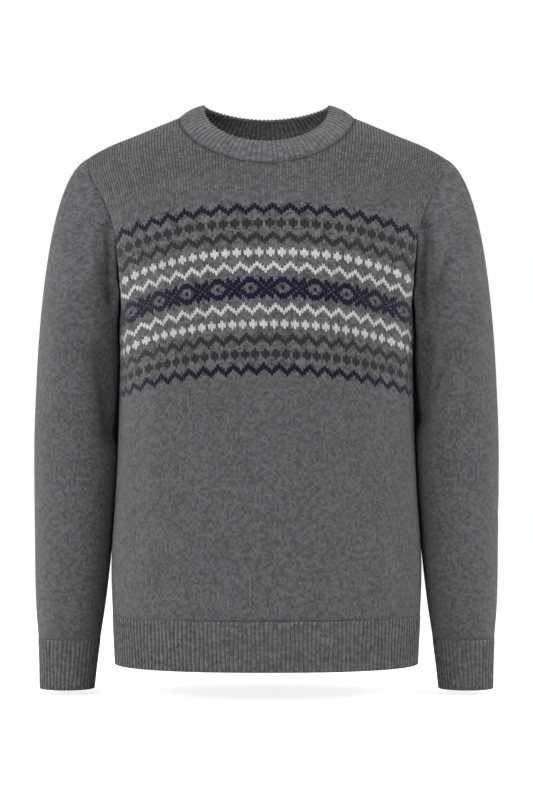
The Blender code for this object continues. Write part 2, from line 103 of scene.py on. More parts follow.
# How square the sleeve's sections are, and how softly they stay clear of the body
SLEEVE_ROUND = 2.15
SLEEVE_CLEAR = 0.0005
SLEEVE_EASE = 0.0018
# The directions in which the sleeve leaves the armhole, and how far it keeps to them
LEAVE_TOP = (0.908, 0.0, -0.418)
LEAVE_UNDERARM = (0.300, 0.0, -0.954)
LEAVE_SWELL = 0.15
CAP_START = 0.55
CAP_END = 1.10
# The neckband's top edge: by panel its reach, its drop and the powers of its curve
BAND_TOP = {
    "half": 0.0775,
    "z": 0.0143,
    "front": (0.068, 0.0507, 2.0, 2.0),
    "back": (0.060, 0.0113, 1.9, 1.0),
}
BAND_SWELL = 0.0022

# The knit: how high a course is, and how wide a wale is by height on the body
COURSE = 0.00272
WALE = {
    "z": (-0.662, -0.400, -0.256, -0.182, -0.138, -0.097, -0.050, 0.030),
    "wide": (0.00288, 0.00296, 0.00305, 0.00329, 0.00348, 0.00360, 0.00382, 0.00400),
}
# Beside the armholes the knit is pulled wider: over these wales, and by this much in all
PULLED = {"wales": (46.0, 62.0), "z": (-0.380, -0.320, -0.140, -0.080), "by": (0.0, 0.016, 0.016, 0.0)}
SLEEVE_WALE = 0.00310
BODY_WALES = 100  # to either side of the middle, more than a panel has anywhere
SLEEVE_WALES = 68
COURSES_A_ROW = 2
LAST_ROW = 0.35 * COURSES_A_ROW  # a row nearer than this to the top edge moves onto it, in courses
LAST_COLUMN = 0.15  # a column nearer than this to a side edge moves onto it, in wales
CHART_STEPS = 4  # columns to a wale where the lines of a panel are worked out
NO_EDGE = 1.0  # stands for the room where no edge is near
# How far a wale's ridge stands above the groove beside it, more where the knit is pulled wide
WALE_RAISE = {"z": (-0.350, -0.140, -0.080, 0.030), "by": (0.00024, 0.00045, 0.00085, 0.00095)}
SLEEVE_RELIEF = 0.4  # the share of that raise that the sleeves have

# The courses droop from the middle to the sides, and the wales lean a little
DROOP = {
    "z": (-0.605, -0.450, -0.323, -0.272, -0.233, -0.194, -0.137, -0.105),
    "by": (0.000, 0.0160, 0.0290, 0.0315, 0.0325, 0.0330, 0.0270, 0.0240),
}
DROOP_AT = 0.180
DROOP_END = 0.200  # the droop grows no more past this far across
DROOP_POWER = 2.3
LEAN = {
    "z": (-0.605, -0.450, -0.350, -0.256, -0.182, -0.100),
    "by": (0.0100, 0.0100, 0.0080, 0.0027, -0.0019, -0.0045),
}

# Where two pieces are joined, both edges sink a little, least near the shoulder
SEAM_WIDE = 0.0030
SEAM_DEEP = {
    "z": (-0.300, -0.250, -0.180, -0.130, -0.050),
    "by": (0.0004, 0.0016, 0.0014, -0.0001, -0.0001),
}
UNDER_SEAM = (1.6, 0.0012)  # the seam inside the arm is narrower by this share, and less deep
FAR = 50.0  # stands for no seam near

# Creases by piece: the start and end of each, then how deep and how wide it is. It's a soft
# trough, or a ridge where deep is below zero. They are placed as seen from the front, so depth
# counts for less.
FRONT_VIEW = (1.0, 0.25, 1.0)
CREASES = {
    "sleeve_left": (
        ((0.190, -0.060, -0.135), (0.187, -0.046, -0.232), 0.0095, 0.0075),
        ((0.231, -0.062, -0.147), (0.2165, -0.060, -0.177), 0.0060, 0.0065),
        ((0.2165, -0.060, -0.177), (0.201, -0.055, -0.214), 0.0082, 0.0065),
        ((0.201, -0.055, -0.214), (0.189, -0.050, -0.243), 0.0070, 0.0070),
        ((0.206, -0.062, -0.155), (0.199, -0.055, -0.195), -0.0030, 0.0065),
        ((0.251, -0.055, -0.165), (0.254, -0.055, -0.236), -0.0026, 0.0080),
        ((0.246, -0.058, -0.250), (0.228, -0.060, -0.280), 0.0030, 0.0100),
        ((0.228, -0.060, -0.280), (0.210, -0.060, -0.309), 0.0058, 0.0085),
        ((0.210, -0.060, -0.309), (0.197, -0.055, -0.345), 0.0075, 0.0075),
        ((0.196, -0.050, -0.275), (0.184, -0.040, -0.368), 0.0110, 0.0120),
        ((0.225, -0.060, -0.320), (0.208, -0.050, -0.372), -0.0035, 0.0080),
        ((0.225, 0.055, -0.165), (0.198, 0.045, -0.262), 0.0070, 0.0085),
        ((0.240, 0.055, -0.275), (0.202, 0.048, -0.345), 0.0055, 0.0090),
        ((0.242, 0.050, -0.470), (0.200, 0.035, -0.410), 0.0045, 0.0110),
        ((0.270, -0.020, -0.480), (0.240, -0.045, -0.450), 0.0020, 0.0110),
    ),
    "sleeve_right": (
        ((-0.190, -0.060, -0.135), (-0.185, -0.046, -0.222), 0.0078, 0.0068),
        ((-0.204, -0.060, -0.156), (-0.186, -0.052, -0.220), 0.0060, 0.0062),
        ((-0.222, -0.062, -0.145), (-0.216, -0.062, -0.180), 0.0034, 0.0100),
        ((-0.226, -0.062, -0.240), (-0.206, -0.055, -0.305), 0.0024, 0.0100),
        ((-0.198, -0.048, -0.290), (-0.185, -0.040, -0.385), 0.0090, 0.0120),
        ((-0.230, 0.055, -0.155), (-0.196, 0.045, -0.250), 0.0070, 0.0085),
        ((-0.238, 0.055, -0.265), (-0.206, 0.048, -0.330), 0.0050, 0.0090),
        ((-0.236, 0.052, -0.440), (-0.198, 0.035, -0.390), 0.0040, 0.0110),
    ),
    "front": (
        ((-0.132, -0.100, -0.330), (-0.136, -0.098, -0.560), -0.0018, 0.013),
        ((0.133, -0.100, -0.340), (0.138, -0.098, -0.575), -0.0020, 0.014),
    ),
    "back": (
        ((-0.120, 0.085, -0.300), (-0.126, 0.085, -0.520), -0.0020, 0.016),
        ((0.128, 0.085, -0.310), (0.122, 0.085, -0.540), -0.0018, 0.015),
        ((-0.060, 0.096, -0.430), (0.020, 0.096, -0.455), 0.0020, 0.018),
    ),
}

LABEL = {"wide": 0.044, "high": 0.020, "wall": 0.0010, "clear": 0.0008, "below_seam": 0.0020}
LABEL_POINTS = (45, 21)


def bend(t, start, leave, end, arrive):
    """A curve from start to end that leaves and arrives in these directions, at the share t."""
    return (
        (2 * t**3 - 3 * t**2 + 1) * start
        + (t**3 - 2 * t**2 + t) * leave
        + (3 * t**2 - 2 * t**3) * end
        + (t**3 - t**2) * arrive
    )


def along(at, places, values):
    """A smooth curve through a table's values, read at any place."""
    places, values = np.asarray(places, float), np.asarray(values, float)
    slopes = np.gradient(values, places)
    at = np.clip(np.asarray(at, float), places[0], places[-1])
    i = np.clip(np.searchsorted(places, at) - 1, 0, len(places) - 2)
    span = places[i + 1] - places[i]
    t = (at - places[i]) / span
    return bend(t, values[i], span * slopes[i], values[i + 1], span * slopes[i + 1])


def rounded(share, exponent, closing=None):
    """How far a rounded section still reaches at this share of its width."""
    share = np.clip(np.abs(share), 0.0, 1.0)
    return (1.0 - share**exponent) ** (1.0 / (closing or exponent))


def torso_y(x, z, side):
    half = along(z, TORSO["z"], TORSO["half"])
    depth = along(z, TORSO["z"], TORSO[side])
    ridge = along(np.abs(x), SHOULDER["x"], SHOULDER["z"])
    rise = np.clip((z - CHEST) / (ridge - CHEST), 0.0, 1.0)
    return FACING[side] * depth * rounded(x / half, ACROSS[side]) * rounded(rise, ROLL[side])


def unit(vectors):
    return vectors / np.maximum(np.linalg.norm(vectors, axis=-1, keepdims=True), 1e-12)


def lengths(points, axis=0):
    """How far each point is along its line of points."""
    steps = np.linalg.norm(np.diff(points, axis=axis), axis=-1)
    start = np.zeros_like(steps.take([0], axis))
    return np.concatenate([start, np.cumsum(steps, axis=axis)], axis=axis)


def evenly(points, count):
    """Points at even steps along a line of points, its ends included."""
    reach = lengths(points)
    wanted = np.linspace(0.0, reach[-1], count)
    return np.stack([np.interp(wanted, reach, points[:, i]) for i in range(3)], axis=1)


def armhole_edge(side, count):
    """The left armhole's edge from the underarm up to the shoulder."""
    fine = UNDERARM + (TIP_Z - UNDERARM) * (1 - np.cos(np.linspace(0, math.pi, 400))) / 2
    x = along(fine, ARMHOLE["z"], ARMHOLE[side])
    y = torso_y(x, fine, side)
    y[0] = y[-1] = 0.0
    return evenly(np.stack([x, y, fine], axis=1), count)


def neck_seam_z(x, side):
    drop, across, closing = NECK_DROP[side]
    return NECK_Z - drop * rounded(x / NECK_HALF, across, closing)


# Stitches on a grid of points: neck is how far the neck seam is, in mm, and seam how far the
# nearest edge is, in metres
Lattice = collections.namedtuple("Lattice", "points wale course neck seam")


def empty_lattice(*shape):
    return Lattice(np.empty((*shape, 3)), *(np.empty(shape) for _ in range(4)))


SECTION_STEPS = 1500  # to half a level section


def level_arc(z, side):
    """Half a level section from the middle to the side: arc length, x and y."""
    angle = np.linspace(0, math.pi / 2, SECTION_STEPS)
    power = 2 / ACROSS[side]
    x = along(z, TORSO["z"], TORSO["half"]) * np.sin(angle) ** power
    y = along(z, TORSO["z"], TORSO[side]) * np.cos(angle) ** power
    reach = np.concatenate([[0.0], np.cumsum(np.hypot(np.diff(x), np.diff(y)))])
    return reach, x, y


def round_by(wales, level):
    """How far round a panel each wale is from its middle."""
    start, end = PULLED["wales"]
    share = np.clip((np.abs(wales) - start) / (end - start), 0, 1)
    pulled = along(level, PULLED["z"], PULLED["by"]) * share**2 * (3 - 2 * share)
    arc = wales * along(level, WALE["z"], WALE["wide"]) + np.sign(wales) * pulled
    return arc + along(level, LEAN["z"], LEAN["by"])


LOW_STEPS = 160  # from the hem to the chest
HIGH_STEPS = 240  # from the chest to the shoulder line
HIGH_LEVELS = (-0.030, -0.052)  # the sections above the chest climb towards one and stop at the other


def wale_lines(side, wales):
    """Points along each wale of a panel, from the hem up to the shoulder line, with the arc
    from the middle to the side seam at each height."""
    low = np.linspace(HEM_TOP, CHEST, LOW_STEPS, endpoint=False)
    turn = np.linspace(0, math.pi / 2, HIGH_STEPS)
    power = 2 / ROLL[side]
    rises = np.concatenate([0 * low, np.sin(turn) ** power])
    rolls = np.concatenate([0 * low + 1, np.cos(turn) ** power])
    towards, stop = HIGH_LEVELS
    high = np.minimum(CHEST + (towards - CHEST) * rises[len(low) :], stop)
    levels = np.concatenate([low, high])
    points, ends = [], []
    for row, (level, rise, roll) in enumerate(zip(levels, rises, rolls)):
        reach, x_at, y_at = level_arc(level, side)
        arc = round_by(wales, level)
        x = np.sign(arc) * np.interp(np.abs(arc), reach, x_at)
        if row < len(low):
            z = 0 * x + level
            y = FACING[side] * np.interp(np.abs(arc), reach, y_at)
        else:
            z = CHEST + (along(np.abs(x), SHOULDER["x"], SHOULDER["z"]) - CHEST) * rise
            half = along(z, TORSO["z"], TORSO["half"])
            depth = along(z, TORSO["z"], TORSO[side])
            y = FACING[side] * depth * rounded(x / half, ACROSS[side]) * roll
        points.append(np.stack([x, y, z], axis=1))
        ends.append((level, reach[-1]))
    return np.array(points), np.array(ends)


def crossing(room, at):
    """Where a line first runs out of room, between the last place with room and the next."""
    out = room <= 0
    if not out.any():
        return at[-1]
    k = int(np.argmax(out))
    share = room[k - 1] / (room[k - 1] - room[k]) if room[k - 1] < NO_EDGE / 2 else 1.0
    return at[k - 1] + share * (at[k] - at[k - 1])


def panel_lattice(side):
    """A panel's stitches: rows are courses, columns are half wales."""
    middle = CHART_STEPS * BODY_WALES
    fine = np.arange(-middle, middle + 1) / CHART_STEPS
    lines, ends = wale_lines(side, fine)
    length = lengths(lines)
    out = (np.minimum(np.abs(lines[..., 0]), DROOP_END) / DROOP_AT) ** DROOP_POWER
    course = (length + along(lines[..., 2], DROOP["z"], DROOP["by"]) * out) / COURSE
    top = course[-1].copy()
    for i in range(len(fine)):
        x, z = np.abs(lines[:, i, 0]), lines[:, i, 2]
        below = np.where(x < NECK_HALF, neck_seam_z(x, side) - z, NO_EDGE)
        top[i] = crossing(below, course[:, i])
    wanted = np.arange(0, top.max() + COURSES_A_ROW, COURSES_A_ROW)
    read = np.where(wanted[:, None] > top - LAST_ROW, top, wanted[:, None])
    grid = np.empty((len(wanted), len(fine), 3))
    for i in range(len(fine)):
        for k in range(3):
            grid[:, i, k] = np.interp(read[:, i], course[:, i], lines[:, i, k])
    columns = np.arange(-2 * BODY_WALES, 2 * BODY_WALES + 1) / 2
    made = empty_lattice(len(wanted), len(columns))
    for row in range(len(wanted)):
        x, z = np.abs(grid[row, :, 0]), grid[row, :, 2]
        arc = np.abs(round_by(fine, z))
        room = np.where(
            z < UNDERARM,
            np.interp(z, ends[:, 0], ends[:, 1]) - arc,
            np.where(z < TIP_Z, along(z, ARMHOLE["z"], ARMHOLE[side]) - x, NO_EDGE),
        )
        right = crossing(room[middle::-1], fine[middle::-1])
        left = crossing(room[middle:], fine[middle:])
        held = np.where(columns > left - LAST_COLUMN, left, columns)
        held = np.where(columns < right + LAST_COLUMN, right, held)
        for k in range(3):
            made.points[row, :, k] = np.interp(held, fine, grid[row, :, k])
        made.wale[row] = held
        made.course[row] = np.interp(held, fine, read[row])
        from_top = (np.interp(held, fine, top) - made.course[row]) * COURSE
        wide = along(made.points[row, :, 2], WALE["z"], WALE["wide"])
        made.seam[row] = np.minimum(np.minimum(left - held, held - right) * wide, from_top)
    made.neck[:] = neck_distance(made.points, side)
    return made


NECK_STEPS = 160
NECK_REACH = 0.02  # past this far from the neck seam its distance isn't worked out


def neck_distance(points, side):
    """How far each point is from the neck seam, in millimetres."""
    x = NECK_HALF * np.cos(np.linspace(0, math.pi, NECK_STEPS))
    z = neck_seam_z(x, side)
    seam = np.stack([x, torso_y(x, z, side), z], axis=1)
    far = np.full(points.shape[:2], FAR)
    near = (np.abs(points[..., 0]) < NECK_HALF + NECK_REACH) & (points[..., 2] > z.min() - NECK_REACH)
    gaps = np.linalg.norm(points[near][:, None] - seam[None], axis=2)
    far[near] = gaps.min(axis=1) * 1000
    return far


def armhole_loop(count):
    """The left armhole's whole edge from the shoulder round by the front."""
    front, back = armhole_edge("front", count + 1)[::-1], armhole_edge("back", count + 1)
    return np.concatenate([front, back[1:-1]])


def body_side(y, z):
    side = np.where(y < 0, ACROSS["front"], ACROSS["back"])
    depth = np.where(y < 0, along(z, TORSO["z"], TORSO["front"]), along(z, TORSO["z"], TORSO["back"]))
    share = np.clip(np.abs(y) / depth, 0.0, 1.0)
    return along(z, TORSO["z"], TORSO["half"]) * (1.0 - share**side) ** (1.0 / side)


def sleeve_ring(z, angle):
    """A level section of the left sleeve. Angle 0 is the outer arm, and it turns to the front."""
    outer, inner, deep, y = (along(z, SLEEVE["z"], SLEEVE[key]) for key in ("outer", "inner", "deep", "y"))
    power = 2 / SLEEVE_ROUND
    side = np.sign(np.cos(angle)) * np.abs(np.cos(angle)) ** power
    fore = np.sign(np.sin(angle)) * np.abs(np.sin(angle)) ** power
    x = (outer + inner) / 2 + (outer - inner) / 2 * side
    y = y - deep * fore
    body = body_side(y, z) + SLEEVE_CLEAR
    x = (x + body + np.hypot(x - body, SLEEVE_EASE * (1 - side) / 2)) / 2
    return np.stack([x, y, 0 * x + z], axis=1)


RINGS = {"arm": 120, "cap": 100, "half": 180}  # up the arm, over its cap, and points to half a ring


def sleeve_rings(count):
    """The left sleeve's rings from the cuff up to the armhole, each from the inner arm round by
    the back, the outer arm and the front to the inner arm again."""
    loop = armhole_loop(count)
    angle = np.linspace(0, 2 * math.pi, 2 * count, endpoint=False)
    first = sleeve_ring(FULL_SLEEVE, angle)
    step = 0.01
    arrive = unit(sleeve_ring(FULL_SLEEVE - step, angle) - sleeve_ring(FULL_SLEEVE + step, angle))
    over = ((1 + np.cos(angle)) / 2)[:, None]
    leave = over * np.array(LEAVE_TOP) + (1 - over) * np.array(LEAVE_UNDERARM)
    leave[:, 1] -= LEAVE_SWELL * np.sin(angle)
    leave = unit(leave)
    length = np.linalg.norm(first - loop, axis=1, keepdims=True)
    heights = np.linspace(CUFF_TOP, FULL_SLEEVE, RINGS["arm"], endpoint=False)
    rings = [sleeve_ring(z, angle) for z in heights]
    level = len(rings)
    for t in np.linspace(1, 0, RINGS["cap"]):
        rings.append(bend(t, loop, CAP_START * length * leave, first, CAP_END * length * arrive))
    order = np.arange(-count, count + 1) % (2 * count)
    return np.array(rings)[:, order], level


def sleeve_lattice():
    """The left sleeve's stitches."""
    count = RINGS["half"]
    rings, level = sleeve_rings(count)
    reach = lengths(rings, axis=1)
    reach -= reach[:, count : count + 1]
    reach[level:] = reach[level]
    length = lengths(rings) / COURSE
    columns = np.arange(-2 * SLEEVE_WALES, 2 * SLEEVE_WALES + 1) / 2
    at = columns * SLEEVE_WALE
    read = [rings[..., 0], rings[..., 1], rings[..., 2], length]
    read = np.array([[np.interp(at, reach[t], part[t]) for t in range(len(rings))] for part in read])
    held = np.clip(at, reach[:, :1], reach[:, -1:])
    rows = np.arange(0, read[3].max() + COURSES_A_ROW, COURSES_A_ROW)
    made = empty_lattice(len(rows), len(columns))
    for i in range(len(columns)):
        course = read[3, :, i]
        wanted = np.where(rows > course[-1] - LAST_ROW, course[-1], rows)
        for k in range(3):
            made.points[:, i, k] = np.interp(wanted, course, read[k, :, i])
        made.wale[:, i] = np.interp(wanted, course, held[:, i]) / SLEEVE_WALE
        made.course[:, i] = wanted
        made.seam[:, i] = (course[-1] - wanted) * COURSE
    made.neck[:] = FAR
    under = np.interp(made.points[:, 0, 2], rings[:, 0, 2], reach[:, -1]) / SLEEVE_WALE
    sideways = (under[:, None] - np.abs(made.wale)) * SLEEVE_WALE
    narrower, least = UNDER_SEAM
    made.seam[:] = np.minimum(made.seam, np.maximum(sideways, 0) * narrower + least)
    return made


def vertex_normals(points, quads):
    across = np.cross(points[quads[:, 2]] - points[quads[:, 0]], points[quads[:, 3]] - points[quads[:, 1]])
    normals = np.zeros_like(points)
    for k in range(4):
        np.add.at(normals, quads[:, k], across)
    return unit(normals)


def creased(points, normals, piece):
    """The points moved along their normals by the creases of this piece."""
    seen = points * FRONT_VIEW
    sunk, lifted = np.zeros(len(points)), np.zeros(len(points))
    for start, end, deep, wide in CREASES.get(piece, ()):
        start, end = np.array(start) * FRONT_VIEW, np.array(end) * FRONT_VIEW
        share = np.clip(((seen - start) @ (end - start)) / np.sum((end - start) ** 2), 0, 1)
        away = np.linalg.norm(seen - start - share[..., None] * (end - start), axis=-1)
        depth = deep * np.exp(-((away / wide) ** 2))
        sunk, lifted = np.maximum(sunk, depth), np.minimum(lifted, depth)
    return points - normals * (sunk + lifted)[:, None]


def welded(lattice, relief):
    """The lattice with its repeated points merged: points, relief, seam distance, quads that
    may repeat a corner, and each quad's place in the lattice."""
    rows, columns = lattice.points.shape[:2]
    keys = np.round(lattice.points.reshape(-1, 3), 6)
    _, first, ids = np.unique(keys, axis=0, return_index=True, return_inverse=True)
    ids = ids.reshape(rows, columns)
    corners = np.arange(rows * columns).reshape(rows, columns)
    places = np.stack([corners[:-1, :-1], corners[:-1, 1:], corners[1:, 1:], corners[1:, :-1]], axis=-1)
    places = places.reshape(-1, 4)
    quads = ids.reshape(-1)[places]
    ordered = np.sort(quads, axis=1)
    kinds = 1 + np.sum(ordered[:, 1:] != ordered[:, :-1], axis=1)
    places, quads = places[kinds > 2], quads[kinds > 2]
    points = lattice.points.reshape(-1, 3)[first]
    return points, relief.reshape(-1)[first], lattice.seam.reshape(-1)[first], quads, places


def build_mesh(name, points, faces, knit, neck):
    """A mesh with two sets of corners: knit is wale and course, and neck is how far the neck
    seam is, twice."""
    mesh = bpy.data.meshes.new(name)
    mesh.from_pydata(points.tolist(), [], faces)
    for layer, corners in (("knit", knit), ("neck", neck)):
        mesh.uv_layers.new(name=layer).data.foreach_set("uv", np.array(corners, np.float32).reshape(-1))
    mesh.shade_smooth()
    made = bpy.data.objects.new(name, mesh)
    bpy.context.scene.collection.objects.link(made)
    return made


def knitted(name, lattice, relief, wall, sharp):
    """A thin shell of knit: the lattice with its relief outside, a plain face inside, and the
    rim between the two."""
    points, raised, seam, quads, places = welded(lattice, relief)
    normals = vertex_normals(points, quads)
    middle = points.mean(axis=0) * (1, 1, 0) + points * (0, 0, 1)
    if name.startswith(("front", "back", "hem_rib")):
        middle *= (0, 0, 1)
    if np.sum(normals * (points - middle)) < 0:
        quads, places = quads[:, ::-1], places[:, ::-1]
        normals = -normals
    points = creased(points, normals, name)
    normals = vertex_normals(points, quads)
    fade = 1 - np.exp(-((seam / SEAM_WIDE) ** 2))
    sunk = along(points[:, 2], SEAM_DEEP["z"], SEAM_DEEP["by"]) * (1 - fade)
    outer = points + normals * (raised * fade - sunk)[:, None]
    inner = points - normals * (wall + sunk)[:, None]
    count = len(points)
    wale, course, neck = (part.reshape(-1) for part in (lattice.wale, lattice.course, lattice.neck))
    faces, knit, beside = [], [], []
    borders = {}
    for quad, place in zip(quads.tolist(), places.tolist()):
        keep = [k for k in range(4) if quad[k] != quad[k - 1]]
        face = [quad[k] for k in keep]
        where = [place[k] for k in keep]
        faces.append(face)
        knit.extend((wale[i], course[i]) for i in where)
        beside.extend((neck[i], neck[i]) for i in where)
        for k in range(len(face)):
            pair = face[k - 1], face[k]
            if (pair[1], pair[0]) in borders:
                del borders[pair[1], pair[0]]
            else:
                borders[pair] = where[k - 1], where[k]
    outside = len(faces)
    for face, start in zip(faces[:outside], np.cumsum([0] + [len(f) for f in faces[:-1]]).tolist()):
        faces.append([i + count for i in reversed(face)])
        knit.extend(reversed(knit[start : start + len(face)]))
        beside.extend(reversed(beside[start : start + len(face)]))
    for (a, b), (at_a, at_b) in borders.items():
        faces.append([b, a, a + count, b + count])
        for i in (at_b, at_a, at_a, at_b):
            knit.append((wale[i], course[i]))
            beside.append((neck[i], neck[i]))
    made = build_mesh(name + "_knit", np.concatenate([outer, inner]), faces, knit, beside)
    if sharp:
        mark_sharp(made.data, quads)
    return made


def mark_sharp(mesh, quads):
    """The edges along the wales, outside only, so each side of a ridge is shaded by itself."""
    lines = np.concatenate([quads[:, [1, 2]], quads[:, [3, 0]]])
    lines = np.sort(lines[lines[:, 0] != lines[:, 1]], axis=1)
    size = len(mesh.vertices)
    wanted = np.unique(lines[:, 0].astype(np.int64) * size + lines[:, 1])
    pairs = np.empty(2 * len(mesh.edges), np.int32)
    mesh.edges.foreach_get("vertices", pairs)
    pairs = np.sort(pairs.reshape(-1, 2), axis=1).astype(np.int64)
    found = np.isin(pairs[:, 0] * size + pairs[:, 1], wanted)
    marks = mesh.attributes.get("sharp_edge") or mesh.attributes.new("sharp_edge", "BOOLEAN", "EDGE")
    marks.data.foreach_set("value", found)


def wale_relief(lattice):
    """Ridges in the middle of each wale and grooves between them."""
    columns = np.arange(lattice.wale.shape[1]) - lattice.wale.shape[1] // 2
    raised = along(lattice.points[..., 2], WALE_RAISE["z"], WALE_RAISE["by"])
    return np.where(columns % 2 == 0, 0.5, -0.5) * raised


def make_panel(side):
    lattice = panel_lattice(side)
    return knitted(side, lattice, wale_relief(lattice), WALL, True)


def make_sleeve(name, mirror):
    lattice = sleeve_lattice()
    lattice = lattice._replace(points=lattice.points * mirror)
    return knitted(name, lattice, wale_relief(lattice) * SLEEVE_RELIEF, WALL, True)


POINTS_A_RIB = 8
RIB_FADE = (0.25, 0.75)  # how much of a rib is left in the rows next to the plain knit
RIB_GROOVE = 0.8  # a power that makes grooves a little narrower than ridges


def rib_relief(wale):
    """A rib's ridge at each whole number and a groove between, about the rib's middle."""
    return ((0.5 + 0.5 * np.cos(2 * math.pi * wale)) ** RIB_GROOVE - 0.5) * RIB_RAISE


def wander(wale, course):
    """Ribs don't run quite straight: how far each is off, in wales."""
    wide = 0.09 * np.sin(0.61 * wale + 0.23 * course)
    fine = 0.07 * np.sin(1.7 * wale - 0.31 * course + 2.0)
    return wide + fine


def rib_lattice(rows, wale, high):
    """Stitches on rows of points that run from the foot up, with as many columns as wale."""
    points = np.array(rows)
    shape = points.shape[:2]
    course = np.linspace(0, high / COURSE, shape[0])[:, None] + np.zeros(shape)
    far = np.full(shape, FAR)
    return Lattice(points, wale + wander(wale, course), course, far, far)


def level_half(z, side, count):
    """Half of a level torso section, from the wearer's right to left, at even steps."""
    angle = np.linspace(0, math.pi, 3000)
    power = 2 / ACROSS[side]
    half = along(z, TORSO["z"], TORSO["half"])
    depth = along(z, TORSO["z"], TORSO[side])
    x = -half * np.sign(np.cos(angle)) * np.abs(np.cos(angle)) ** power
    y = FACING[side] * depth * np.abs(np.sin(angle)) ** power
    return evenly(np.stack([x, y, 0 * x + z], axis=1), count)


RIB_PIECE_ROWS = 24


def faded_ribs(lattice):
    """Ribs that run out where they meet the plain knit above them."""
    relief = rib_relief(lattice.wale)
    for row, share in enumerate(RIB_FADE):
        relief[-1 - row] *= share
    return relief


def make_hem_rib(side):
    count = POINTS_A_RIB * HEM_RIBS_A_SIDE + 1
    wale = np.arange(count) / POINTS_A_RIB + 0.5
    rows = []
    for t in np.linspace(0, 1, RIB_PIECE_ROWS):
        z = HEM_BOTTOM + (HEM_TOP - HEM_BOTTOM) * t
        rows.append(level_half(z, side, count))
    lattice = rib_lattice(rows, wale, HEM_TOP - HEM_BOTTOM)
    return knitted("hem_rib_" + side, lattice, faded_ribs(lattice), RIB_WALL, False)


def make_cuff(name, mirror):
    count = POINTS_A_RIB * CUFF_RIBS
    angle = np.linspace(-math.pi, math.pi, 2001)
    wale = np.arange(count + 1) / POINTS_A_RIB
    rows = []
    for z in np.linspace(CUFF_BOTTOM, CUFF_TOP, RIB_PIECE_ROWS):
        rows.append(evenly(sleeve_ring(z, angle), count + 1) * mirror)
    lattice = rib_lattice(rows, wale, CUFF_TOP - CUFF_BOTTOM)
    return knitted(name, lattice, faded_ribs(lattice), RIB_WALL, False)


def neck_lines(count):
    """The neck seam round from the wearer's right over the front, the band's top edge, and the
    directions into the cloth and out of the band's face."""
    foot, top = [], []
    turn = np.linspace(math.pi, 0, 400)
    for side, step in (("front", 1), ("back", -1)):
        x = NECK_HALF * np.cos(turn)
        z = neck_seam_z(x, side)
        y = torso_y(x, z, side)
        y[[0, -1]] = 0.0
        foot.append(np.stack([x, y, z], axis=1)[::step])
        reach, drop, across, closing = BAND_TOP[side]
        x = BAND_TOP["half"] * np.cos(turn)
        y = FACING[side] * reach * np.sin(turn)
        z = BAND_TOP["z"] - drop * rounded(np.cos(turn), across, closing)
        top.append(np.stack([x, y, z], axis=1)[::step])
    foot, top = (np.concatenate([one[:-1], other]) for one, other in (foot, top))
    reach = lengths(foot)
    reach /= reach[-1]
    shares = np.arange(count) / count
    foot, top = (
        np.stack([np.interp(shares, reach, line[:, i]) for i in range(3)], axis=1) for line in (foot, top)
    )
    tangent = unit(np.roll(foot, -1, axis=0) - np.roll(foot, 1, axis=0))
    face = unit(np.cross(tangent, top - foot))
    face = face * np.sign(np.sum(face * (foot * (1, 1, 0)), axis=1, keepdims=True))
    return foot, top, face


BAND_FACE_ROWS = 12
BAND_CROWN_ROWS = 6
INSIDE_RELIEF = 0.30  # the ribs are pressed flatter inside the band


def band_bow(t):
    """How far the band's face stands out at this share of its height."""
    return BAND_PROUD + BAND_SWELL * math.sin(math.pi * t) - BAND_PROUD * t


def make_neckband():
    """The doubled band: its face, the fold along its top and its inside, as one closed skin."""
    count = POINTS_A_RIB * NECK_RIBS
    foot, top, face = neck_lines(count)
    lift = top - foot
    high = np.linalg.norm(lift, axis=1).mean()
    half = BAND_WALL / 2
    rows, outs, courses = [], [], []
    for t in np.linspace(0, 1, BAND_FACE_ROWS):
        rows.append(foot + lift * t + face * band_bow(t))
        outs.append(face)
        courses.append(t * high)
    up = unit(lift)
    for turn in np.linspace(0, math.pi, BAND_CROWN_ROWS + 2)[1:-1]:
        out = face * math.cos(turn) + up * math.sin(turn)
        rows.append(top - face * half + out * half)
        outs.append(out)
        courses.append(high + half * turn)
    for t in np.linspace(1, 0, BAND_FACE_ROWS):
        rows.append(foot + lift * t + face * (band_bow(t) - BAND_WALL))
        outs.append(-face)
        courses.append(high * (2 - t) + half * math.pi)
    wale = np.arange(count + 1) / POINTS_A_RIB
    points, outs = np.array(rows), np.array(outs)
    shares = np.ones(len(rows))
    shares[: len(RIB_FADE)] = RIB_FADE
    shares[BAND_FACE_ROWS + BAND_CROWN_ROWS :] = INSIDE_RELIEF
    relief = (rib_relief(wale[:-1])[None, :] - RIB_RAISE / 2) * shares[:, None]
    points = points + outs * relief[..., None]
    faces, knit = [], []
    for row in range(len(points)):
        over = (row + 1) % len(points)
        here, above = row * count, over * count
        low, high = courses[row] / COURSE, courses[over] / COURSE
        for column in range(count):
            beside = (column + 1) % count
            faces.append([here + column, here + beside, above + beside, above + column])
            first, last = wale[column], wale[column + 1]
            knit.extend([(first, low), (last, low), (last, high), (first, high)])
    return build_mesh("neckband_knit", points.reshape(-1, 3), faces, knit, [(FAR, FAR)] * len(knit))


